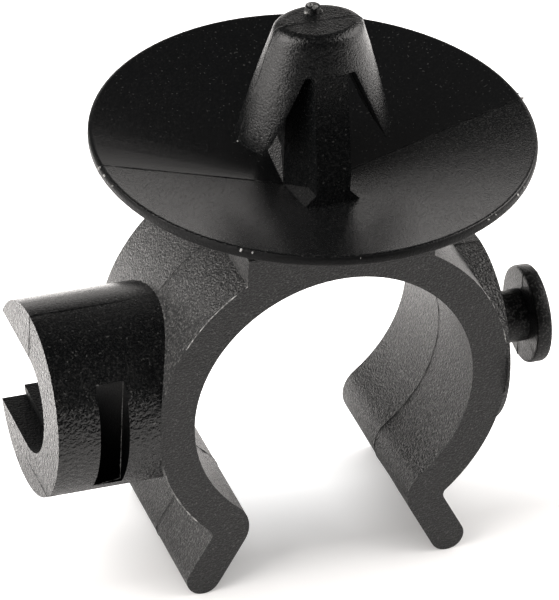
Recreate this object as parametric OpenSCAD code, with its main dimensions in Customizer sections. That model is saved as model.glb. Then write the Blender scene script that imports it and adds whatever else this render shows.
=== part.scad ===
// Conduit clip: a split ring for corrugated conduit, with a panel arrowhead on top, a sprung dish under the
// arrowhead, and a cross tube that carries a link socket on one side and a link stud on the other.
// The origin is the centre of the conduit bore at mid width. +Y runs along the bore, +X to the link stud
// and +Z to the arrowhead. The clip stands on its two lead-in lips. All sizes are in millimetres.

/* [Ring] */
// Inside diameter, for a conduit of this outside diameter
conduit_d = 15.8; // [14:0.1:18]
// Wall thickness of the ring
wall = 2; // [1.6:0.1:2.6]
// Width of the ring along the conduit
ring_w = 10.3; // [9:0.1:14]
// Half angle of the ring, from its top to the throat of the mouth
mouth_angle = 139.1; // [130:0.1:142]

/* [Lips] */
// Thickness of each lead-in lip
lip_t = 1.9; // [1.4:0.1:2.2]
// Angle of each lip from the vertical
lip_flare = 28.3; // [20:0.1:36]
// Length of each lip's straight lead-in face
lip_l = 3.02; // [2:0.01:5]
// Radius of the rounded throat between the bore and the lip
throat_r = 1.8; // [1.2:0.1:2.2]
// Radius of the inside corner between the ring's outer face and the lip
lip_fillet_r = 0.5; // [0.3:0.1:0.9]

/* [Top pad] */
// Width of the flat pad on top of the ring
pad_w = 10.5; // [8:0.1:14]
// Height of the pad's top above the ring
pad_rise = 0.1; // [0.05:0.05:1.5]

/* [Dish] */
// Diameter of the sprung dish
dish_d = 23.8; // [18:0.1:28]
// Angle of the dish's upper face from the horizontal
dish_angle = 16.2; // [10:0.1:22]
// Thickness of the dish near its middle
dish_root_t = 1; // [0.8:0.05:1.2]
// Thickness of the dish at its rim
dish_rim_t = 0.62; // [0.4:0.02:0.8]
// Diameter of the neck between the pad and the dish
neck_d = 6.2; // [5:0.1:8]
// Height of the neck, from the pad to the dish's upper face at the centre
neck_rise = 0.5; // [0.3:0.05:1.5]

/* [Arrowhead] */
// Diameter of the panel hole that the arrowhead fits
hole_d = 7; // [6.6:0.1:8]
// Clearance between the post's corners and the panel hole, on the diameter
hole_clear = 0.05; // [0:0.01:0.3]
// Width across the barbs of the two wings
barb_w = 8.4; // [7.8:0.1:9.6]
// Width of the arrowhead's body just under its rounded top
tip_w = 5.14; // [4.6:0.02:6]
// Depth of the arrowhead as a share of its width
depth_share = 0.75; // [0.7:0.01:0.8]
// How far the arrowhead's sides swell past a straight line
side_swell = 0.08; // [0:0.01:0.2]
// Height of the arrowhead's flat top above the middle of the dish
arrow_h = 10.36; // [9.4:0.02:12]
// Height of the barbs' widest line above the middle of the dish
barb_h = 3.7; // [3.4:0.05:4.6]
// Height of the wing ends under their widest line
wing_end_drop = 0.22; // [0.1:0.02:0.4]
// Radius of the arrowhead's top edge
tip_r = 0.75; // [0.3:0.05:1]
// Width of the centre post at its front and back faces
post_face_w = 1.9; // [1.6:0.1:2.4]
// Width of the centre post at the parting plane
post_mid_w = 3.1; // [2.6:0.1:3.4]
// Thickness left between the top of the side slots and the arrowhead's top
tip_solid_t = 2.15; // [1.6:0.05:3]
// Width of the slots' roof from side to side
slot_roof_w = 2.7; // [2.5:0.1:3]
// Thickness of the wing ends
wing_end_t = 0.72; // [0.5:0.01:1]
// Height from the wing ends down to where the post's front face turns upright
post_shelf_drop = 0.6; // [0.2:0.1:1]
// Leg of the chamfer between the post and the dish
post_chamfer = 0.58; // [0.3:0.02:0.8]
// Diameter of the gate mark on the flat top
gate_d = 0.8; // [0.5:0.1:1.2]
// Height of the gate mark
gate_h = 0.32; // [0.1:0.02:0.6]
// Distance of the gate mark behind the arrowhead's middle
gate_y = 0.95; // [0:0.05:1]

/* [Cross tube] */
// Diameter of the cross tube
tube_d = 10.7; // [10.3:0.1:12]
// How far the cross tube's axis lies under the centre of the bore
tube_drop = 0.22; // [0:0.02:0.6]
// Length of the socket end, from the ring's outer face to the tube's end face
socket_end_l = 5.64; // [5:0.01:9]
// Length of the stub under the stud, past the ring's outer face
stub_l = 0.1; // [0.05:0.05:2]

/* [Link stud] */
// Diameter of the stud's shank
shank_d = 2.9; // [2.4:0.1:3.6]
// Diameter of the stud's head
head_d = 5.4; // [5:0.1:6.4]
// Thickness of the stud's head
head_t = 0.87; // [0.6:0.01:1.2]
// Radius of the rounded edge of the stud's head
head_edge_r = 0.15; // [0.05:0.05:0.25]

/* [Link socket] */
// Thickness of the socket's end wall, which the stud's head catches behind
socket_wall = 2.33; // [1.6:0.01:2.8]
// Depth of the wide mouth in the outer part of the end wall
mouth_depth = 1.35; // [0.8:0.05:1.5]
// Clearance across the shank in the narrow part of the slot
slot_clear = 1.85; // [1.2:0.05:2]
// Extra width of the slot's wide mouth over its narrow part
mouth_extra = 0.9; // [0.4:0.1:1.2]
// How far the slot's axis lies under the cross tube's axis
slot_drop = 0.16; // [0:0.02:0.3]
// Clearance across the head in the head chamber
chamber_clear = 1.1; // [0.4:0.1:1.4]
// Clearance along the head's thickness in the head chamber
chamber_play = 0.75; // [0.4:0.05:1.2]
// Thickness of the chamber's front wall, which narrows the window at the front
window_wall = 1.35; // [0.8:0.05:2]
// Depth of the step behind the chamber's front wall
window_step = 0.3; // [0.1:0.05:0.6]
// Play along the shank between the socket's end wall and the neighbour's head
link_play = 0.33; // [0.2:0.01:0.8]

/* [Hidden] */
$fn = 96;
plastic = "#2b2b2d";

// Bite is how far a shape sinks into the one that carries it, over is how far a cut runs past a face,
// fillet_sink is how far the lip's inside corner curve dips into the ring, and lip_root_angle is how far back
// into the ring the lip's root reaches
bite = 0.6;
over = 1;
fillet_sink = 0.02;
lip_root_angle = 8;

bore_r = conduit_d / 2;
ring_r = bore_r + wall;
pad_top = ring_r + pad_rise;

// Lips, drawn for the +X side in the XZ plane
lip_along = [sin(lip_flare), -cos(lip_flare)];
lip_out = [cos(lip_flare), sin(lip_flare)];
throat_at = (bore_r + throat_r) * [sin(mouth_angle), cos(mouth_angle)];
lip_start = throat_at - throat_r * lip_out;
lip_end = lip_start + lip_l * lip_along;
lip_round_at = lip_end + lip_t / 2 * lip_out;
lip_outer_reach = (lip_start + lip_t * lip_out) * lip_out;
corner_across = lip_outer_reach + lip_fillet_r;
corner_along = sqrt(pow(ring_r + lip_fillet_r - fillet_sink, 2) - pow(corner_across, 2));
corner_at = corner_across * lip_out + corner_along * lip_along;

// Dish, where dish_z gives the upper face's height at a radius
dish_r = dish_d / 2;
dish_mid = pad_top + neck_rise;
function dish_z(r) = dish_mid + r * tan(dish_angle);

// Arrowhead
arrow_top = dish_mid + arrow_h;
barb_z = dish_mid + barb_h;
wing_end_z = barb_z - wing_end_drop;
slot_top = arrow_top - tip_solid_t;
shoulder_z = arrow_top - tip_r;
barb_r = barb_w / 2;
tip_half_w = tip_w / 2;
side_lean = atan((barb_r - tip_half_w) / (shoulder_z - barb_z));
slot_foot_half_w = barb_r - wing_end_t;
post_half_depth = sqrt(pow(hole_d - hole_clear, 2) - pow(post_face_w, 2)) / 2;
function side_half_w(t) = barb_r + (tip_half_w - barb_r) * t + 4 * side_swell * t * (1 - t);

// Cross tube, stud and socket
tube_r = tube_d / 2;
tube_left = -(ring_r + socket_end_l);
stub_right = ring_r + stub_l;
shank_l = socket_wall + link_play;
head_left = stub_right + shank_l;
slot_r = (shank_d + slot_clear) / 2;
mouth_r = slot_r + mouth_extra / 2;
chamber_h = head_d + chamber_clear;
chamber_l = head_t + chamber_play;

// Points of an arc about a centre, from one angle to another
function arc(centre, r, from, to, steps) =
    [for (i = [0 : steps]) let (a = from + (to - from) * i / steps) centre + r * [cos(a), sin(a)]];

// Stands an outline drawn in X and Z upright and gives it a depth along Y
module upright(depth) {
    rotate([90, 0, 0]) linear_extrude(height = depth, center = true) children();
}

// A round bar along the Y axis
module bar_y(r, l) {
    rotate([90, 0, 0]) cylinder(r = r, h = l, center = true);
}

// A round bar on the cross tube's axis, between two X positions
module bar_x(r, from, to) {
    translate([from, 0, -tube_drop]) rotate([0, 90, 0]) cylinder(r = r, h = to - from);
}

// One lip, with the rounded throat above it and the filleted corner outside
module lip() {
    to_axis = atan2(-throat_at[1], -throat_at[0]);
    root_angle = mouth_angle - lip_root_angle;
    root_inset = wall / 4;
    upright(ring_w) polygon(concat(
        arc(throat_at, throat_r, to_axis, 180 + lip_flare, 12),
        arc(lip_round_at, lip_t / 2, 180 + lip_flare, 360 + lip_flare, 18),
        arc(corner_at, lip_fillet_r, 180 + lip_flare, atan2(-corner_at[1], -corner_at[0]), 6),
        [
            (ring_r - root_inset) * [sin(root_angle), cos(root_angle)],
            (bore_r + root_inset) * [sin(root_angle), cos(root_angle)]
        ]
    ));
}

// The wedge that opens the ring at its mouth
module mouth_cut() {
    upright(ring_w + over) polygon([
        [0, 0],
        2 * ring_r * [sin(mouth_angle), cos(mouth_angle)],
        2 * ring_r * [-sin(mouth_angle), cos(mouth_angle)]
    ]);
}

// The pad that fills the ring's top out to a flat rectangle
module pad() {
    translate([-pad_w / 2, -ring_w / 2, bore_r / 2]) cube([pad_w, ring_w, pad_top - bore_r / 2]);
}

// The sprung dish on its neck
module dish() {
    neck_r = neck_d / 2;
    rim_z = dish_z(dish_r);
    edge_r = dish_rim_t / 3;
    rotate_extrude() polygon(concat(
        [
            [0, pad_top - bite],
            [neck_r, pad_top - bite],
            [neck_r, dish_z(neck_r) - dish_root_t],
            [dish_r - edge_r, rim_z - dish_rim_t]
        ],
        arc([dish_r - edge_r, rim_z - dish_rim_t + edge_r], edge_r, -60, 0, 2),
        arc([dish_r - edge_r, rim_z - edge_r], edge_r, 0, 90 + dish_angle, 4),
        [[0, dish_mid]]
    ));
}

// The arrowhead's outer body, an oval cone with a rounded top edge and rounded barbs
module arrow_body() {
    steps = 8;
    scale([1, depth_share, 1]) rotate_extrude($fn = 72) polygon(concat(
        [[0, wing_end_z], [barb_r - wing_end_drop, wing_end_z]],
        arc([barb_r - wing_end_drop, barb_z], wing_end_drop, -67.5, -22.5, 2),
        [for (i = [0 : steps]) [side_half_w(i / steps), barb_z + (shoulder_z - barb_z) * i / steps]],
        arc([tip_half_w - tip_r, shoulder_z], tip_r, 2 * side_lean, 90, 5),
        [[0, arrow_top]]
    ));
}

// The space between the wings, open to the front and the back
module wing_gap() {
    roof_x = slot_roof_w / 2;
    corner_out = 0.16;
    corner_drop = 0.3;
    upright(2 * barb_r) polygon([
        [-roof_x, slot_top],
        [roof_x, slot_top],
        [roof_x + corner_out, slot_top - corner_drop],
        [slot_foot_half_w, wing_end_z],
        [slot_foot_half_w, wing_end_z - over],
        [-slot_foot_half_w, wing_end_z - over],
        [-slot_foot_half_w, wing_end_z],
        [-roof_x - corner_out, slot_top - corner_drop]
    ]);
}

// The centre post, widest at the parting plane and narrower towards the top, with a chamfered foot
module post() {
    foot_z = dish_mid - dish_root_t;
    shelf_z = wing_end_z - post_shelf_drop;
    mid_x = post_mid_w / 2;
    face_x = post_face_w / 2;
    slot_top_half_w = side_half_w((slot_top - barb_z) / (shoulder_z - barb_z));
    top_depth = depth_share * sqrt(pow(slot_top_half_w, 2) - pow(face_x, 2));
    root_depth = top_depth - bite * tan(side_lean);
    toe_x = face_x + post_chamfer;
    toe_z = dish_z(norm([toe_x, post_half_depth]));
    toe_lean = atan((toe_z - dish_z(toe_x)) / post_half_depth);
    toe_reach = post_half_depth + over;
    intersection() {
        union() {
            translate([0, 0, foot_z]) linear_extrude(height = slot_top + bite - foot_z) polygon([
                [-mid_x, 0],
                [-face_x, -top_depth],
                [-face_x, -post_half_depth],
                [face_x, -post_half_depth],
                [face_x, -top_depth],
                [mid_x, 0],
                [face_x, top_depth],
                [face_x, post_half_depth],
                [-face_x, post_half_depth],
                [-face_x, top_depth]
            ]);
            for (end = [0, 1])
                mirror([0, end, 0]) translate([0, 0, dish_z(toe_x)]) rotate([toe_lean, 0, 0])
                    translate([0, toe_reach / 2, 0]) upright(toe_reach) polygon([
                        [-toe_x, -dish_root_t],
                        [toe_x, -dish_root_t],
                        [toe_x, 0],
                        [face_x, post_chamfer],
                        [-face_x, post_chamfer],
                        [-toe_x, 0]
                    ]);
        }
        rotate([0, 0, 90]) upright(2 * barb_w) polygon([
            [-post_half_depth, foot_z],
            [post_half_depth, foot_z],
            [post_half_depth, shelf_z],
            [top_depth, slot_top],
            [root_depth, slot_top + bite],
            [-root_depth, slot_top + bite],
            [-top_depth, slot_top],
            [-post_half_depth, shelf_z]
        ]);
        rotate_extrude() polygon([
            [0, dish_mid - dish_root_t / 2],
            [dish_r, dish_z(dish_r) - dish_root_t / 2],
            [dish_r, arrow_top],
            [0, arrow_top]
        ]);
    }
}

// The panel arrowhead: two sprung wings and a centre post under one solid tip
module arrowhead() {
    difference() {
        arrow_body();
        wing_gap();
    }
    post();
    translate([0, gate_y, arrow_top - bite]) cylinder(d = gate_d, h = gate_h + bite, $fn = 24);
}

// The cross tube, from the socket's end face to the stub under the stud, flush with the ring's front and back
module cross_tube() {
    difference() {
        bar_x(tube_r, tube_left, stub_right);
        for (side = [-1, 1])
            translate([0, side * (ring_w / 2 + tube_r), 0]) bar_y(ring_r, tube_d);
    }
}

// The link stud, a round shank with a disc head
module stud() {
    shank_r = shank_d / 2;
    flat_r = head_d / 2 - head_edge_r;
    translate([0, 0, -tube_drop]) rotate([0, 90, 0]) rotate_extrude() polygon(concat(
        [[0, ring_r - bite], [shank_r, ring_r - bite], [shank_r, head_left], [flat_r, head_left]],
        arc([flat_r, head_left + head_edge_r], head_edge_r, -45, 0, 1),
        arc([flat_r, head_left + head_t - head_edge_r], head_edge_r, 0, 90, 2),
        [[0, head_left + head_t]]
    ));
}

// A U-shaped cut along the cross tube, round at the front and open to the back
module u_cut(r, from, to) {
    translate([0, 0, -slot_drop]) {
        bar_x(r, from, to);
        translate([from, 0, -tube_drop - r]) cube([to - from, tube_d, 2 * r]);
    }
}

// The link socket: a stepped slot in the end wall and a head chamber that also opens to the front as a window
module socket_cut() {
    chamber_left = tube_left + socket_wall;
    u_cut(mouth_r, tube_left - over, tube_left + mouth_depth);
    u_cut(slot_r, tube_left, chamber_left + over / 2);
    translate([chamber_left, 0, -tube_drop - chamber_h / 2]) {
        translate([0, -tube_d, 0]) cube([chamber_l, 2 * tube_d, chamber_h]);
        translate([0, window_wall - tube_r, 0]) cube([chamber_l + window_step, tube_d, chamber_h]);
    }
}

// The whole clip, moulded as one piece
module clip() {
    color(plastic) union() {
        difference() {
            union() {
                bar_y(ring_r, ring_w);
                pad();
                cross_tube();
                stud();
            }
            bar_y(bore_r, 2 * ring_w);
            mouth_cut();
            socket_cut();
        }
        lip();
        mirror([1, 0, 0]) lip();
        dish();
        arrowhead();
    }
}

clip();
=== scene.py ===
# Conduit clip: black moulded polyamide on a white studio floor
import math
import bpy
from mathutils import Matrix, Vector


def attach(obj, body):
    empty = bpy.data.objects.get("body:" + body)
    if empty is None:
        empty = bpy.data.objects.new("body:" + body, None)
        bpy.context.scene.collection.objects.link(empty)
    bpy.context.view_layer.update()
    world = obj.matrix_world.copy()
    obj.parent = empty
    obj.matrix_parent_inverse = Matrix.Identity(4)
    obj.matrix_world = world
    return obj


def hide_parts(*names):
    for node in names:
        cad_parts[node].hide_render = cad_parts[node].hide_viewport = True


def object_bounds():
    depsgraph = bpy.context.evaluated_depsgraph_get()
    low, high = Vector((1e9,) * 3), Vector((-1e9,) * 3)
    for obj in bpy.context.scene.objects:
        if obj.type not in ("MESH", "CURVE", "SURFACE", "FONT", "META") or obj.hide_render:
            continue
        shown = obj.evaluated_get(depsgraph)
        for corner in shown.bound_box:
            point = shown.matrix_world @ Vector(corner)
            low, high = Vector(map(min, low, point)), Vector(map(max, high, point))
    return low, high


bl_info = {
    "name": "Conduit Clip",
    "version": (1, 0, 0),
    "blender": (4, 5, 0),
    "location": "3D View > Sidebar > Conduit Clip",
    "description": "Finishes and moulding marks of a conduit clip, with its studio floor, lamps and camera",
    "category": "Add Mesh",
}

import bpy
from bpy.props import FloatProperty, FloatVectorProperty, PointerProperty
from mathutils import Matrix, Vector, noise

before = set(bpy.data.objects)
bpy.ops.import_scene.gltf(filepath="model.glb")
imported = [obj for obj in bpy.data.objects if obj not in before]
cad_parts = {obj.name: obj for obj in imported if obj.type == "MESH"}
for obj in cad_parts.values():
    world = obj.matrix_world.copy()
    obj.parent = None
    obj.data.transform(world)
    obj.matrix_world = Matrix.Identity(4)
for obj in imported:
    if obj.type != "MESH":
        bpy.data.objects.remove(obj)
CAD_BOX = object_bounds()

MM = 0.001

# Sizes of the clip that the finishes and the moulding marks follow, in metres, as the CAD has them
RING_R = 9.9 * MM
RING_HALF_W = 5.15 * MM
TUBE_R = 5.35 * MM
TUBE_AXIS_Z = -0.22 * MM
TUBE_LEFT = -15.54 * MM
TUBE_RIGHT = -9.2 * MM
PAD_TOP = 10.0 * MM
DISH_R = 11.9 * MM
DISH_MID = 10.5 * MM
DISH_TILT = math.radians(16.2)
RIM_Z = DISH_MID + DISH_R * math.tan(DISH_TILT)
ARROWHEAD_R = 4.4 * MM
STUD_LEFT = 10.0 * MM
SOCKET_RIGHT = -RING_R + 0.9 * MM
SOCKET_HALF_H = 3.3 * MM
SLIDE_LINE_Z = -4.15 * MM
SLOT_TOP_Z = 2.5 * MM
WINDOW_X = (-13.21 * MM, -11.59 * MM)
WINDOW_Z = (-3.47 * MM, 3.03 * MM)
WINDOW_SKIN_Y = -4.25 * MM
WINDOW_STEP_Y = -4.0 * MM
BARBS = ((-4.22 * MM, 0, 14.1 * MM), (4.2 * MM, -0.3 * MM, 13.95 * MM))
GATE_FOOT = (0, 0.95 * MM, 20.86 * MM)

# Margins that tell the clip's faces apart: at a flat face, in the tube's wall, at the rim and at a corner
NEAR = 0.05 * MM
WALL_MARGIN = 0.06 * MM
RIM_MARGIN = 0.1 * MM
CORNER_MARGIN = 0.01 * MM
# How far the normal of a face on the dish may be from the dish's own tilt, as a cosine
TILT_MARGIN = 0.035
# How closely the CAD's triangles are merged, and which angles count as flat, smooth and sharp
MERGE = 0.002 * MM
FLAT = math.radians(0.1)
SMOOTH = math.radians(50)
SHARP = math.radians(35)


# Helpers
def linear(hex_colour):
    """Turns an sRGB hex colour into a linear one with alpha"""
    parts = [int(hex_colour[i : i + 2], 16) / 255 for i in (1, 3, 5)]
    parts = [c / 12.92 if c <= 0.04045 else ((c + 0.055) / 1.055) ** 2.4 for c in parts]
    return (*parts, 1.0)


def node(tree, kind, inputs=None, **settings):
    """Adds a node and gives its outputs: an input takes a value, or the socket that feeds it"""
    made = tree.nodes.new(kind)
    for name, value in settings.items():
        setattr(made, name, value)
    for name, value in (inputs or {}).items():
        if isinstance(value, bpy.types.NodeSocket):
            tree.links.new(value, made.inputs[name])
        else:
            made.inputs[name].default_value = value
    return made.outputs


# Inputs and output of the colour mix, which have no names of their own
MIX_FROM = 6
MIX_TO = 7
MIXED = 2


def new_material(name):
    """An empty material with its node tree"""
    material = bpy.data.materials.new(name)
    material.use_nodes = True
    tree = material.node_tree
    tree.nodes.clear()
    return material, tree


def speckle(tree, place, size, edges, values, detail=2.0):
    """Specks of a real size in metres: edges are the noise levels where they begin and are full"""
    inputs = {"Vector": place, "Scale": 1 / size, "Detail": detail}
    level = node(tree, "ShaderNodeTexNoise", inputs)["Fac"]
    low, high = edges
    between, on_specks = values
    inputs = {"Value": level, "From Min": low, "From Max": high, "To Min": between, "To Max": on_specks}
    return node(tree, "ShaderNodeMapRange", inputs)["Result"]


def only(piece):
    """Deselects all and makes one piece the active, selected one"""
    bpy.ops.object.select_all(action="DESELECT")
    piece.select_set(True)
    bpy.context.view_layer.objects.active = piece


def linked(name, data):
    """A new object in the scene"""
    made = bpy.data.objects.new(name, data)
    bpy.context.scene.collection.objects.link(made)
    return made


# Finishes
class Look:
    """One moulded finish. Where a value is a pair, it holds the front mould half's and the back half's"""

    def __init__(
        self,
        rough,
        grain,
        grain_mm,
        painted_glint=0.0,
        dust=0.0,
        wrinkle=0.0,
        wrinkle_top=1.8 * MM,
        level=0.5,
        tone=1.0,
    ):
        self.rough = rough
        self.grain = grain
        self.grain_mm = grain_mm
        self.painted_glint = painted_glint
        self.dust = dust
        self.wrinkle = wrinkle
        self.wrinkle_top = wrinkle_top
        self.level = level
        self.tone = tone


# The eroded grain of such a mould is about half as wide as drawn here. It is drawn coarser so that it shows
LOOKS = {
    # Outer and inner curves of the ring and the lips, from a coarsely spark-eroded mould
    "grained": Look(0.36, 0.6, 0.11, painted_glint=0.27, dust=0.5),
    # Right outside of the ring, where the texture was rubbed down under the stud
    "rubbed": Look(0.4, 0.3, 0.11, painted_glint=0.08, dust=0.2),
    # Flat front and back faces of the ring, from finely eroded steel
    "fine_face": Look(0.38, 0.45, 0.11, painted_glint=0.09, dust=0.2),
    # Sprung dish: the front mould half is eroded, the back half is nearly polished. The front half's extra
    # painted glints paint a lighter sheen on it
    "dish": Look((0.2, 0.17), (0.17, 0.06), 0.09, painted_glint=(0.07, 0.01), dust=0.1),
    # Narrow outer side of the dish's rim, matt from the parting faces' edge
    "rim": Look(0.5, 0.3, 0.1, level=0.15, tone=0.7),
    # Outside of the cross tube, wrinkled where the melt front froze against the mould
    "tube": Look((0.26, 0.24), (0.2, 0.1), 0.11, painted_glint=0.04, dust=0.2, wrinkle=0.38),
    # End face of the socket, from a coarse slide
    "end_face": Look(0.34, 1.0, 0.14, painted_glint=0.1, dust=0.8, wrinkle=0.9, wrinkle_top=9 * MM),
    # Walls of the slot, from the sides of a core
    "slot": Look(0.5, 0.5, 0.14, painted_glint=0.02, level=0.15),
    # Inside of the socket behind the window, from the steel of a matt core, with its resin darkened as
    # painted shade in the recess
    "cored": Look(0.6, 0.15, 0.12, level=0.01, tone=0.4),
    # Arrowhead with its wings and post
    "arrowhead": Look(0.27, 0.2, 0.11, painted_glint=0.02, dust=0.15),
    # Link stud
    "stud": Look(0.38, 0.2, 0.11, painted_glint=0.14, dust=0.1, level=0.27),
}

# Half width of the blend between the finishes of the two mould halves
SEAM = 0.03 * MM
# Size and depth of the wrinkles, and the height over which they fade out
WRINKLE = 0.22 * MM
WRINKLE_DEPTH = 0.3 * MM
WRINKLE_FADE = 1.4 * MM
# Size of the dust, which is drawn as coarse as the grain so that it shows
DUST = 0.13 * MM
# Size of the mottling on torn and worn flash and on the painted highlights
MOTTLING = 0.2 * MM
# Levels of the noise where grain, painted glints, dust and mottling begin and are full
GRAIN_EDGES = (0.3, 0.7)
GLINT_EDGES = (0.54, 0.64)
DUST_EDGES = (0.75, 0.8)
MOTTLING_EDGES = (0.4, 0.7)
# How much rougher or smoother the grain's hills and dips are, and how rough flash is
GRAIN_ROUGH = (-0.1, 0.1)
FLASH_ROUGH = (0.25, 0.4)
# Pale colour of the painted glints and of the dust
GLINT_AND_DUST_COLOUR = "#8c8c8a"
WORN_AND_HIGHLIGHT_COLOUR = "#c8c8c6"
POLYAMIDE_IOR = 1.53

# How much of the pale colour a mark shows, where it is least and most pale; on the ring's edges and the
# burrs the paleness is a painted highlight
FRESH = (0.0, 0.04)
STRETCHED = (0.05, 0.4)
WINDOW_PALENESS = (0.1, 0.5)
EDGE_HIGHLIGHT = (0.1, 0.8)
BURR_HIGHLIGHT = (0.3, 1.0)


def moulded_polyamide(name, resin):
    """Black polyamide 6.6 as it leaves the mould: near-black resin under a satin grain, with pale flecks
    painted in as glints of the grain, and pale dust
    """
    look = LOOKS[name]
    material, tree = new_material("polyamide_" + name)
    place = node(tree, "ShaderNodeTexCoord")["Object"]
    axes = node(tree, "ShaderNodeSeparateXYZ", {"Vector": place})
    inputs = {"Value": axes["Y"], "From Min": -SEAM, "From Max": SEAM}
    back = node(tree, "ShaderNodeMapRange", inputs)["Result"]
    here = {"rough": look.rough, "grain": look.grain, "painted_glint": look.painted_glint}
    for part, value in here.items():
        if isinstance(value, tuple):
            inputs = {"Value": back, "To Min": value[0], "To Max": value[1]}
            here[part] = node(tree, "ShaderNodeMapRange", inputs)["Result"]
    grain_size = look.grain_mm * MM
    grain = node(tree, "ShaderNodeTexNoise", {"Vector": place, "Scale": 1 / grain_size})["Fac"]
    relief = {"Height": grain, "Strength": here["grain"], "Distance": 2 * grain_size}
    if look.wrinkle:
        inputs = {"Vector": place, "Scale": 1 / WRINKLE, "Detail": 1.0, "Distortion": 0.2}
        wrinkle = node(tree, "ShaderNodeTexNoise", inputs)["Fac"]
        inputs = {
            "Value": axes["Z"],
            "From Min": look.wrinkle_top + WRINKLE_FADE,
            "From Max": look.wrinkle_top,
            "To Max": look.wrinkle,
        }
        low_part = node(tree, "ShaderNodeMapRange", inputs)["Result"]
        inputs = {"Height": wrinkle, "Strength": low_part, "Distance": WRINKLE_DEPTH}
        relief["Normal"] = node(tree, "ShaderNodeBump", inputs)["Normal"]
    normal = node(tree, "ShaderNodeBump", relief)["Normal"]
    unevenness = speckle(tree, place, grain_size, GRAIN_EDGES, GRAIN_ROUGH)
    rough = node(tree, "ShaderNodeMath", {0: here["rough"], 1: unevenness}, operation="ADD")["Value"]
    # Pale flecks painted into the colour as glints of the grain: the more a finish has, the lighter it
    # looks
    painted_glints = speckle(tree, place, 1.2 * grain_size, GLINT_EDGES, (0.0, 1.0), detail=1.0)
    painted_glints = node(tree, "ShaderNodeMath", {0: painted_glints, 1: here["painted_glint"]}, operation="MULTIPLY")["Value"]
    dust = speckle(tree, place, DUST, DUST_EDGES, (0.0, look.dust), detail=0.0)
    pale = node(tree, "ShaderNodeMath", {0: painted_glints, 1: dust}, operation="MAXIMUM")["Value"]
    # A tone below one darkens the resin; inside the socket this is painted shade
    dark = (*(look.tone * part for part in resin), 1.0)
    inputs = {"Factor": pale, MIX_FROM: dark, MIX_TO: linear(GLINT_AND_DUST_COLOUR)}
    colour = node(tree, "ShaderNodeMix", inputs, data_type="RGBA")[MIXED]
    inputs = {
        "Base Color": colour,
        "Roughness": rough,
        "Normal": normal,
        "IOR": POLYAMIDE_IOR,
        "Specular IOR Level": look.level,
    }
    shader = node(tree, "ShaderNodeBsdfPrincipled", inputs)["BSDF"]
    node(tree, "ShaderNodeOutputMaterial", {"Surface": shader})
    return material


def flash_material(name, resin, paleness):
    """Thin flash of the same resin, smoother than the moulded faces, paler where it was torn or worn and
    where a highlight is painted on it
    """
    material, tree = new_material("polyamide_" + name)
    place = node(tree, "ShaderNodeTexCoord")["Object"]
    pale = speckle(tree, place, MOTTLING, MOTTLING_EDGES, paleness)
    inputs = {"Factor": pale, MIX_FROM: (*resin, 1.0), MIX_TO: linear(WORN_AND_HIGHLIGHT_COLOUR)}
    colour = node(tree, "ShaderNodeMix", inputs, data_type="RGBA")[MIXED]
    rough = speckle(tree, place, MOTTLING, GRAIN_EDGES, FLASH_ROUGH)
    inputs = {"Base Color": colour, "Roughness": rough, "IOR": POLYAMIDE_IOR}
    shader = node(tree, "ShaderNodeBsdfPrincipled", inputs)["BSDF"]
    node(tree, "ShaderNodeOutputMaterial", {"Surface": shader})
    return material


def finish_of(at, normal):
    """The finish of a face of the clip, from its middle and its normal"""
    tube_r = math.hypot(at.y, at.z - TUBE_AXIS_Z)
    dish_r = math.hypot(at.x, at.y)
    ring_r = math.hypot(at.x, at.z)
    if at.x < TUBE_LEFT + NEAR and normal.x < -0.9:
        return "end_face"
    in_tube = at.x < SOCKET_RIGHT and tube_r < TUBE_R - WALL_MARGIN
    if in_tube and abs(at.z - TUBE_AXIS_Z) < SOCKET_HALF_H:
        return "slot" if at.x < WINDOW_X[0] - CORNER_MARGIN else "cored"
    if abs(normal.y) > 0.99 and abs(abs(at.y) - RING_HALF_W) < NEAR:
        return "fine_face"
    if at.z > PAD_TOP and dish_r > DISH_R - RIM_MARGIN:
        return "rim"
    if at.z > PAD_TOP:
        tilted = abs(abs(normal.z) - math.cos(DISH_TILT)) < TILT_MARGIN
        on_dish = tilted and at.z < RIM_Z + RIM_MARGIN
        return "dish" if on_dish or dish_r > ARROWHEAD_R else "arrowhead"
    if at.x > STUD_LEFT:
        return "stud"
    if at.x < TUBE_RIGHT and abs(normal.x) < 0.5:
        return "tube"
    if at.x > 0 and normal.x > 0.3 and ring_r > RING_R - 0.3 * MM:
        return "rubbed"
    return "grained"


# Body
def merged_copy(name):
    """A copy of the CAD's clip, merged by distance, with its flat faces made whole"""
    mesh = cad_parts["clip"].data.copy()
    mesh.name = name
    piece = linked(name, mesh)
    only(piece)
    bpy.ops.object.mode_set(mode="EDIT")
    bpy.ops.mesh.select_all(action="SELECT")
    bpy.ops.mesh.remove_doubles(threshold=MERGE)
    bpy.ops.mesh.dissolve_limited(angle_limit=FLAT)
    bpy.ops.mesh.select_all(action="DESELECT")
    bpy.ops.object.mode_set(mode="OBJECT")
    bpy.ops.mesh.customdata_custom_splitnormals_clear()
    piece.data.materials.clear()
    return piece


def weigh_outer_edges(mesh, slots):
    """Gives full bevel weight to the edges between the ring's front face and its grained outer curve"""
    sides = {}
    for face in mesh.polygons:
        for key in face.edge_keys:
            sides.setdefault(key, []).append(face)
    weights = mesh.attributes.new("bevel_weight_edge", "FLOAT", "EDGE")
    for edge in mesh.edges:
        near = sides[edge.key]
        flat = [face for face in near if slots[face.material_index] == "fine_face" and face.center.y < 0]
        curve = [face for face in near if slots[face.material_index] == "grained"]
        if flat and curve:
            at, normal = curve[0].center, curve[0].normal
            if at.x * normal.x + at.z * normal.z > 0:
                weights.data[edge.index].value = 1.0


def modify(piece, name, kind, **settings):
    """Adds a modifier to the active piece and applies it"""
    modifier = piece.modifiers.new(name, kind)
    for setting, value in settings.items():
        setattr(modifier, setting, value)
    bpy.ops.object.modifier_apply(modifier=name)


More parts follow.
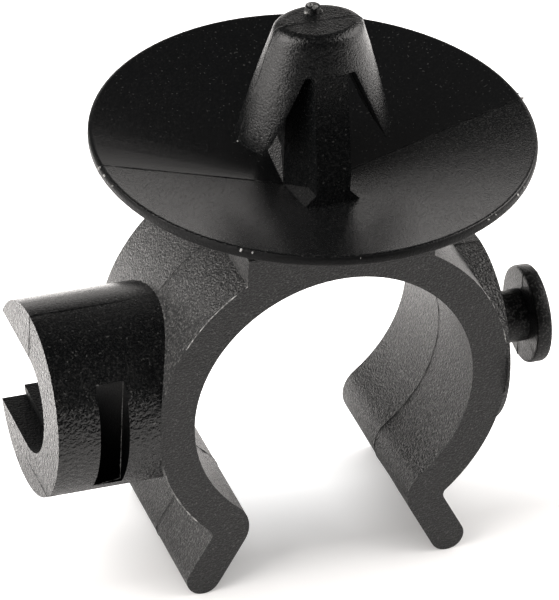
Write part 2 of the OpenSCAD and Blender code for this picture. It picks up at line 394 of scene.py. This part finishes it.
def add_body(sizes):
    """The moulded clip: a merged copy of the CAD's clip with small rounds on its edges"""
    body = merged_copy("clip_body")
    for name in LOOKS:
        body.data.materials.append(moulded_polyamide(name, sizes.resin))
    slots = list(LOOKS)
    for face in body.data.polygons:
        face.material_index = slots.index(finish_of(face.center, face.normal))
    weigh_outer_edges(body.data, slots)
    modify(body, "outer_rounds", "BEVEL", width=sizes.outer_round, segments=3, limit_method="WEIGHT")
    modify(
        body,
        "edge_rounds",
        "BEVEL",
        width=sizes.edge_round,
        segments=2,
        limit_method="ANGLE",
        angle_limit=SHARP,
    )
    bpy.ops.object.shade_smooth_by_angle(angle=SMOOTH)
    modify(body, "flat_faces", "WEIGHTED_NORMAL", keep_sharp=True)
    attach(body, "root")
    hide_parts("clip")


# Moulding marks
# How far a bead of flash runs before its thickness changes, and its least, middle and swing of thickness
BEAD_WAVE = 0.6 * MM
BEAD_LEAST = 0.25
BEAD_MIDDLE = 0.75
BEAD_SWING = 1.1


def beaded(piece, radius, seed):
    """Turns a piece's bare edges into a thin bead of uneven thickness"""
    only(piece)
    bpy.ops.object.convert(target="CURVE")
    curve = piece.data
    curve.bevel_depth = radius
    curve.bevel_resolution = 0
    for spline in curve.splines:
        for point in spline.points:
            at = Vector(point.co[:3]) / BEAD_WAVE + Vector((seed, 0, 0))
            point.radius = max(BEAD_LEAST, BEAD_MIDDLE + BEAD_SWING * noise.noise(at))
    bpy.ops.object.convert(target="MESH")
    bpy.ops.object.shade_smooth()


def moulding_mark(piece, material):
    """Gives a mark its material and lets it ride on the clip"""
    piece.data.materials.append(material)
    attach(piece, "root")


def add_parting_flash(sizes):
    """The fine bead of flash where the two mould halves met, along the section at Y = 0"""
    flash = merged_copy("parting_flash")
    bpy.ops.object.mode_set(mode="EDIT")
    bpy.ops.mesh.select_all(action="SELECT")
    bpy.ops.mesh.bisect(plane_co=(0, 0, 0), plane_no=(0, 1, 0), clear_inner=True, clear_outer=True)
    bpy.ops.mesh.select_mode(type="VERT")
    bpy.ops.mesh.select_all(action="DESELECT")
    bpy.ops.object.mode_set(mode="OBJECT")
    for vertex in flash.data.vertices:
        at = vertex.co
        in_slot = abs(at.z - TUBE_AXIS_Z) < SOCKET_HALF_H + RIM_MARGIN
        vertex.select = in_slot and at.x < SOCKET_RIGHT
    bpy.ops.object.mode_set(mode="EDIT")
    bpy.ops.mesh.delete(type="VERT")
    bpy.ops.mesh.select_all(action="SELECT")
    bpy.ops.mesh.subdivide(number_cuts=2)
    bpy.ops.object.mode_set(mode="OBJECT")
    beaded(flash, sizes.flash_r, seed=0)
    moulding_mark(flash, flash_material("flash", sizes.resin, FRESH))


def line_piece(name, corners, radius, seed, steps=24):
    """A thin uneven bead along straight runs between corners"""
    points = []
    for start, end in zip(corners, corners[1:]):
        points += [Vector(start).lerp(Vector(end), i / steps) for i in range(steps)]
    points.append(Vector(corners[-1]))
    mesh = bpy.data.meshes.new(name)
    mesh.from_pydata(points, [(i, i + 1) for i in range(len(points) - 1)], [])
    line = linked(name, mesh)
    beaded(line, radius, seed)
    return line


def add_slide_line(sizes):
    """The witness line of the socket's slide, across the end face and along the tube"""
    drop = SLIDE_LINE_Z - TUBE_AXIS_Z
    front = -math.sqrt(TUBE_R**2 - drop**2)
    slide = (
        (TUBE_LEFT, 0, SLIDE_LINE_Z),
        (TUBE_LEFT, front, SLIDE_LINE_Z),
        (-RING_R - 0.1 * MM, front, SLIDE_LINE_Z),
    )
    parting = ((TUBE_LEFT, 0, TUBE_AXIS_Z + TUBE_R - 0.05 * MM), (TUBE_LEFT, 0, SLOT_TOP_Z))
    for name, run in (("slide_line", slide), ("end_parting", parting)):
        line = line_piece(name, run, sizes.flash_r * 0.8, seed=40)
        moulding_mark(line, flash_material(name, sizes.resin, FRESH))


# Stretches of the ring's outer front edge that carry a painted highlight, in degrees around the bore from
# +X
HIGHLIGHT_ARCS = ((122, 151), (195, 222), (11, 37))
# How far the highlit edge lies inside the ring's corner, where it is rounded
EDGE_INSET = 0.02 * MM


def arc(radius, start, end, steps=28):
    """Points on a circle around the bore at the ring's front face, from one angle in degrees to another"""
    angles = [math.radians(start + (end - start) * i / steps) for i in range(steps + 1)]
    return [(radius * math.cos(a), -RING_HALF_W + EDGE_INSET, radius * math.sin(a)) for a in angles]


def add_ring_edges(sizes):
    """Pale beads along stretches of the ring's outer front edge: a painted highlight where the round
    catches the light
    """
    for number, (start, end) in enumerate(HIGHLIGHT_ARCS):
        name = f"edge_highlight_{number}"
        points = arc(RING_R - EDGE_INSET, start, end)
        line = line_piece(name, points, 1.1 * sizes.flash_r, seed=120 + number, steps=1)
        moulding_mark(line, flash_material(name, sizes.resin, EDGE_HIGHLIGHT))


def add_window_edges(sizes):
    """Pale beads along the edges of the window and of the step in it"""
    left, right = WINDOW_X
    low, high = WINDOW_Z
    corners = (
        (left, WINDOW_SKIN_Y, high),
        (right, WINDOW_STEP_Y, high),
        (right, WINDOW_STEP_Y, low),
        (left, WINDOW_SKIN_Y, low),
    )
    line = line_piece("window_edges", corners, sizes.flash_r * 0.9, seed=80)
    moulding_mark(line, flash_material("window_edges", sizes.resin, WINDOW_PALENESS))


def lumps(name, spots, squash):
    """Joined small lumps at places in metres, with lengths in millimetres, no two turned alike"""
    pieces = []
    for number, (place, length) in enumerate(spots):
        bpy.ops.object.select_all(action="DESELECT")
        bpy.ops.mesh.primitive_ico_sphere_add(subdivisions=1, radius=0.5 * length * MM, location=place)
        lump = bpy.context.object
        lump.scale = squash
        lump.rotation_euler = (number * 1.3, number * 0.7, math.atan2(place.y, place.x))
        pieces.append(lump)
    bpy.ops.object.select_all(action="DESELECT")
    for lump in pieces:
        lump.select_set(True)
    bpy.context.view_layer.objects.active = pieces[0]
    bpy.ops.object.join()
    joined = bpy.context.object
    joined.name = joined.data.name = name
    bpy.ops.object.transform_apply(location=True, rotation=True, scale=True)
    return joined


# Burrs on the dish's rim: the angle around the rim from +X, and the length in millimetres
RIM_BURRS = (
    (0.5, 0.3), (3, 0.16), (180.5, 0.34), (184, 0.24), (189, 0.18), (232, 0.28),
    (235, 0.18), (262, 0.1), (300, 0.2), (303, 0.14), (314, 0.22), (318, 0.14),
)
# Length of the burrs on the barbs, in millimetres
BARB_BURR = 0.16


def add_rim_burrs(sizes):
    """Small torn burrs of flash on the dish's rim and on the barbs, painted pale as a highlight"""
    spots = []
    for turn, length in RIM_BURRS:
        angle = math.radians(turn)
        place = Vector((DISH_R * math.cos(angle), DISH_R * math.sin(angle), RIM_Z - RIM_MARGIN))
        spots.append((place, length))
    spots += [(Vector(barb), BARB_BURR) for barb in BARBS]
    spots = [(place, 0.8 * length * sizes.burr_scale) for place, length in spots]
    burrs = lumps("rim_burrs", spots, (1.0, 0.6, 0.8))
    moulding_mark(burrs, flash_material("burr_highlight", sizes.resin, BURR_HIGHLIGHT))


# Lumps of the torn gate: offsets from its foot along X, Y and Z, and lengths, in millimetres
GATE_LUMPS = (
    (-0.3, -0.05, 0.02, 0.5), (0.28, 0.05, 0.04, 0.55), (0.02, -0.2, 0.14, 0.6),
    (-0.14, 0.1, 0.24, 0.5), (0.16, -0.1, 0.22, 0.45), (0.4, -0.15, 0.0, 0.3), (-0.42, -0.12, 0.0, 0.3),
)


def add_torn_gate(sizes):
    """The torn, stress-whitened stub of the gate on the arrowhead's top"""
    foot = Vector(GATE_FOOT)
    spots = [(foot + Vector((x, y, z)) * MM, length) for x, y, z, length in GATE_LUMPS]
    stub = lumps("torn_gate", spots, (1.0, 0.9, 0.7))
    moulding_mark(stub, flash_material("torn_gate", sizes.resin, STRETCHED))


# Stage
# The photograph's view: its angles, the point that it looks at and its distance in metres, and its lens
VIEW_AZIMUTH = math.radians(20.95)
VIEW_ELEVATION = math.radians(34.33)
VIEW_ROLL = math.radians(2.62)
VIEW_CENTRE = (-2.548 * MM, 0, 4.191 * MM)
VIEW_DISTANCE = 334.8 * MM
VIEW_LENS = 375.5
VIEW_SHIFT = (0.0315, -0.0138)


def add_camera():
    """The camera at the photograph's angle"""
    back = Vector((
        -math.sin(VIEW_AZIMUTH) * math.cos(VIEW_ELEVATION),
        -math.cos(VIEW_AZIMUTH) * math.cos(VIEW_ELEVATION),
        math.sin(VIEW_ELEVATION),
    ))
    right = Vector((math.cos(VIEW_AZIMUTH), -math.sin(VIEW_AZIMUTH), 0))
    up = back.cross(right)
    rolled_right = right * math.cos(VIEW_ROLL) + up * math.sin(VIEW_ROLL)
    rolled_up = up * math.cos(VIEW_ROLL) - right * math.sin(VIEW_ROLL)
    turn = Matrix((rolled_right, rolled_up, back)).transposed().to_4x4()
    data = bpy.data.cameras.new("photo_camera")
    data.sensor_fit = "AUTO"
    data.sensor_width = 36
    data.lens = VIEW_LENS
    data.shift_x, data.shift_y = VIEW_SHIFT
    data.clip_start = 0.01
    data.clip_end = 20
    camera = linked("photo_camera", data)
    camera.matrix_world = Matrix.Translation(Vector(VIEW_CENTRE) + back * VIEW_DISTANCE) @ turn
    bpy.context.scene.camera = camera


# What gloss sees around the clip: a direction, the half angles in degrees where a card starts and is full,
# and its strength
CARDS = (
    ((0.36, 0.93, 0.02), 29, 6, 1.15),
    ((0.0, 0.8, 0.6), 45, 20, 0.06),
    ((-0.6, 0.77, 0.2), 26, 8, 0.4),
)
# What gloss sees between the cards
DARK_CEILING = 0.02
# Colour of all the lamps: daylight with a trace of warmth
LAMP_COLOUR = "#fffbf8"


def add_world(stage):
    """Soft studio surroundings. Gloss shows pale cards at the back, under a dark ceiling"""
    world = bpy.data.worlds.new("studio")
    world.use_nodes = True
    tree = world.node_tree
    tree.nodes.clear()
    way = node(tree, "ShaderNodeTexCoord")["Generated"]
    level = DARK_CEILING
    for direction, outer, inner, strength in CARDS:
        inputs = {0: way, 1: Vector(direction).normalized()}
        facing = node(tree, "ShaderNodeVectorMath", inputs, operation="DOT_PRODUCT")["Value"]
        low = math.cos(math.radians(outer))
        high = math.cos(math.radians(inner))
        inputs = {"Value": facing, "From Min": low, "From Max": high, "To Max": strength}
        card = node(tree, "ShaderNodeMapRange", inputs, interpolation_type="SMOOTHSTEP")["Result"]
        level = node(tree, "ShaderNodeMath", {0: card, 1: level}, operation="ADD")["Value"]
    lit = linear(LAMP_COLOUR)
    dome = node(tree, "ShaderNodeBackground", {"Color": lit, "Strength": stage.dome})["Background"]
    cards = node(tree, "ShaderNodeBackground", {"Color": lit, "Strength": level})["Background"]
    white = node(tree, "ShaderNodeBackground", {"Color": linear("#ffffff"), "Strength": 1.0})["Background"]
    ray = node(tree, "ShaderNodeLightPath")
    around = node(tree, "ShaderNodeMixShader", {0: ray["Is Glossy Ray"], 1: dome, 2: cards})["Shader"]
    seen = node(tree, "ShaderNodeMixShader", {0: ray["Is Camera Ray"], 1: around, 2: white})["Shader"]
    node(tree, "ShaderNodeOutputWorld", {"Surface": seen})
    bpy.context.scene.world = world


# Softboxes beside the clip: the name, the place, and the width and height in metres
BOXES = (
    ("left_box", (-0.2, -0.01, 0.112), (0.25, 0.22)),
    ("right_box", (0.21, -0.02, 0.112), (0.28, 0.19)),
)
BOX_TARGET = (0, 0, 0.01)
# Bright patches of the floor beside and behind the clip, each with its place and size in metres
GLOWS = (("left_glow", -0.047, 0.03, 0.06), ("back_glow", 0.02, 0.06, 0.1), ("right_glow", 0.1, 0, 0.1))
# How high the bright patches lie over the floor
GLOW_LIFT = 0.2 * MM


def add_lamp(name, place, target, size, radiance):
    """One soft lamp at a place, turned to a target, with its width, height and brightness"""
    data = bpy.data.lights.new(name, "AREA")
    data.shape = "RECTANGLE"
    data.size, data.size_y = size
    data.energy = radiance * math.pi * data.size * data.size_y
    data.color = linear(LAMP_COLOUR)[:3]
    lamp = linked(name, data)
    lamp.location = place
    lamp.rotation_euler = (Vector(place) - Vector(target)).to_track_quat("Z", "Y").to_euler()
    return lamp


def add_lamps(stage):
    """The two softboxes and the bright patches of the floor"""
    for name, place, size in BOXES:
        add_lamp(name, place, BOX_TARGET, size, getattr(stage, name))
    low = CAD_BOX[0].z + GLOW_LIFT
    for name, x, y, size in GLOWS:
        glow = add_lamp(name, (x, y, low), (x, y, 1), (size, size), stage.low_glow)
        glow.visible_camera = False


FLOOR_WIDTH = 3.0
# How far in front of the clip the floor stays pale in gloss, and where it has gone dark
PALE_FRONT = (-45 * MM, -110 * MM)
FAR_FRONT_COLOUR = "#303030"
# The part of the floor where its lift grows towards the back: the lift is lower in front, which paints the
# floor's shadow darker in front of the clip's middle and bleaches it out behind
SHADOW_SWEEP = (-2.7 * MM, 2.5 * MM)
# How far the clip darkens the floor's lift around it, as painted shade
PAINTED_SHADE_REACH = 8 * MM


def add_floor(stage):
    """The white floor that the clip stands on"""
    bpy.ops.object.select_all(action="DESELECT")
    bpy.ops.mesh.primitive_plane_add(size=FLOOR_WIDTH, location=(0, 0, CAD_BOX[0].z))
    bpy.ops.object.transform_apply(location=True)
    floor = bpy.context.object
    floor.name = "floor"
    material, tree = new_material("white_paper")
    ray = node(tree, "ShaderNodeLightPath")
    place = node(tree, "ShaderNodeTexCoord")["Object"]
    along = node(tree, "ShaderNodeSeparateXYZ", {"Vector": place})["Y"]
    inputs = {"Value": along, "From Min": PALE_FRONT[0], "From Max": PALE_FRONT[1]}
    front = node(tree, "ShaderNodeMapRange", inputs)["Result"]
    dark = node(tree, "ShaderNodeMath", {0: front, 1: ray["Is Glossy Ray"]}, operation="MULTIPLY")["Value"]
    paper = node(tree, "ShaderNodeBsdfDiffuse", {"Color": (*stage.floor_colour, 1.0)})["BSDF"]
    shade = node(tree, "ShaderNodeBsdfDiffuse", {"Color": linear(FAR_FRONT_COLOUR)})["BSDF"]
    sheet = node(tree, "ShaderNodeMixShader", {0: dark, 1: paper, 2: shade})["Shader"]
    # The camera's lift is lower in front of the clip's middle and is multiplied by ambient occlusion: a
    # painted shadow under the clip
    inputs = {"Value": along, "From Min": SHADOW_SWEEP[0], "From Max": SHADOW_SWEEP[1], "To Min": stage.floor_lift}
    lift = node(tree, "ShaderNodeMapRange", inputs)["Result"]
    painted_occlusion = node(tree, "ShaderNodeAmbientOcclusion", {"Distance": PAINTED_SHADE_REACH})["AO"]
    lift = node(tree, "ShaderNodeMath", {0: lift, 1: painted_occlusion}, operation="MULTIPLY")["Value"]
    lift = node(tree, "ShaderNodeMath", {0: lift, 1: ray["Is Camera Ray"]}, operation="MULTIPLY")["Value"]
    glow = node(tree, "ShaderNodeEmission", {"Color": linear("#ffffff"), "Strength": lift})["Emission"]
    both = node(tree, "ShaderNodeAddShader", {0: sheet, 1: glow})["Shader"]
    node(tree, "ShaderNodeOutputMaterial", {"Surface": both})
    floor.data.materials.append(material)


# Settings
class ClipSizes(bpy.types.PropertyGroup):
    """Sizes and colours of the clip's finish and moulding marks that a user may change"""

    resin: FloatVectorProperty(
        name="Resin",
        description="Colour of the resin",
        default=linear("#08090a")[:3],
        subtype="COLOR",
        size=3,
    )
    outer_round: FloatProperty(
        name="Outer round",
        description="Width of the round on the ring's outer front edge",
        default=0.16 * MM,
        unit="LENGTH",
        precision=5,
    )
    edge_round: FloatProperty(
        name="Edge round",
        description="Width of the rounds on the edges",
        default=0.07 * MM,
        unit="LENGTH",
        precision=5,
    )
    flash_r: FloatProperty(
        name="Flash radius",
        description="Radius of the flash bead",
        default=0.035 * MM,
        unit="LENGTH",
        precision=5,
    )
    burr_scale: FloatProperty(
        name="Burr scale",
        description="Size of the burrs on the rim",
        default=1.0,
        min=0.2,
    )


class ClipStage(bpy.types.PropertyGroup):
    """Light and floor of the stage that a user may change"""

    left_box: FloatProperty(
        name="Left box",
        description="Brightness of the left softbox",
        default=4.8,
    )
    right_box: FloatProperty(
        name="Right box",
        description="Brightness of the right softbox",
        default=3.2,
    )
    low_glow: FloatProperty(
        name="Low glow",
        description="Brightness of the floor's bright patches",
        default=1.7,
    )
    dome: FloatProperty(
        name="Dome",
        description="Brightness of the surroundings",
        default=0.45,
    )
    floor_lift: FloatProperty(
        name="Floor lift",
        description="How much paler the camera sees the floor in front",
        default=0.3,
    )
    floor_colour: FloatVectorProperty(
        name="Floor",
        description="Colour of the floor",
        default=linear("#f0f0f0")[:3],
        subtype="COLOR",
        size=3,
    )


class CLIP_OT_body(bpy.types.Operator):
    """Makes the moulded body of the clip"""

    bl_idname = "clip.body"
    bl_label = "Moulded body"

    def execute(self, context):
        add_body(context.scene.clip_sizes)
        return {"FINISHED"}


class CLIP_OT_parting_flash(bpy.types.Operator):
    """Makes the bead of flash along the parting line"""

    bl_idname = "clip.parting_flash"
    bl_label = "Parting flash"

    def execute(self, context):
        add_parting_flash(context.scene.clip_sizes)
        return {"FINISHED"}


class CLIP_OT_slide_line(bpy.types.Operator):
    """Makes the witness line of the socket's slide"""

    bl_idname = "clip.slide_line"
    bl_label = "Slide line"

    def execute(self, context):
        add_slide_line(context.scene.clip_sizes)
        return {"FINISHED"}


class CLIP_OT_ring_edges(bpy.types.Operator):
    """Makes the pale beads painted as highlight on the ring's outer front edge"""

    bl_idname = "clip.ring_edges"
    bl_label = "Ring edges"

    def execute(self, context):
        add_ring_edges(context.scene.clip_sizes)
        return {"FINISHED"}


class CLIP_OT_window_edges(bpy.types.Operator):
    """Makes the pale beads on the edges of the socket's window"""

    bl_idname = "clip.window_edges"
    bl_label = "Window edges"

    def execute(self, context):
        add_window_edges(context.scene.clip_sizes)
        return {"FINISHED"}


class CLIP_OT_torn_gate(bpy.types.Operator):
    """Makes the torn stub of the gate on the arrowhead"""

    bl_idname = "clip.torn_gate"
    bl_label = "Torn gate"

    def execute(self, context):
        add_torn_gate(context.scene.clip_sizes)
        return {"FINISHED"}


class CLIP_OT_rim_burrs(bpy.types.Operator):
    """Makes the burrs on the dish's rim and on the barbs"""

    bl_idname = "clip.rim_burrs"
    bl_label = "Rim burrs"

    def execute(self, context):
        add_rim_burrs(context.scene.clip_sizes)
        return {"FINISHED"}


class CLIP_OT_stage(bpy.types.Operator):
    """Makes the floor, the lamps, the world and the camera"""

    bl_idname = "clip.stage"
    bl_label = "Studio stage"

    def execute(self, context):
        stage = context.scene.clip_stage
        context.scene.view_settings.view_transform = "Standard"
        add_floor(stage)
        add_world(stage)
        add_lamps(stage)
        add_camera()
        return {"FINISHED"}


class CLIP_PT_panel(bpy.types.Panel):
    """Lists the pieces and the stage"""

    bl_idname = "CLIP_PT_panel"
    bl_label = "Conduit Clip"
    bl_space_type = "VIEW_3D"
    bl_region_type = "UI"
    bl_category = "Conduit Clip"

    def draw(self, context):
        layout = self.layout
        for operator in PIECES:
            layout.operator(operator.bl_idname)
        for group, holder in ((ClipSizes, context.scene.clip_sizes), (ClipStage, context.scene.clip_stage)):
            for name in group.__annotations__:
                layout.prop(holder, name)


PIECES = (
    CLIP_OT_body,
    CLIP_OT_parting_flash,
    CLIP_OT_slide_line,
    CLIP_OT_ring_edges,
    CLIP_OT_window_edges,
    CLIP_OT_torn_gate,
    CLIP_OT_rim_burrs,
    CLIP_OT_stage,
)
CLASSES = (ClipSizes, ClipStage, *PIECES, CLIP_PT_panel)


def register():
    for cls in CLASSES:
        bpy.utils.register_class(cls)
    bpy.types.Scene.clip_sizes = PointerProperty(type=ClipSizes)
    bpy.types.Scene.clip_stage = PointerProperty(type=ClipStage)


def unregister():
    del bpy.types.Scene.clip_stage
    del bpy.types.Scene.clip_sizes
    for cls in reversed(CLASSES):
        bpy.utils.unregister_class(cls)


def main():
    register()
    bpy.ops.clip.body()
    bpy.ops.clip.parting_flash()
    bpy.ops.clip.slide_line()
    bpy.ops.clip.ring_edges()
    bpy.ops.clip.window_edges()
    bpy.ops.clip.torn_gate()
    bpy.ops.clip.rim_burrs()
    bpy.ops.clip.stage()


if __name__ == "__main__":
    main()
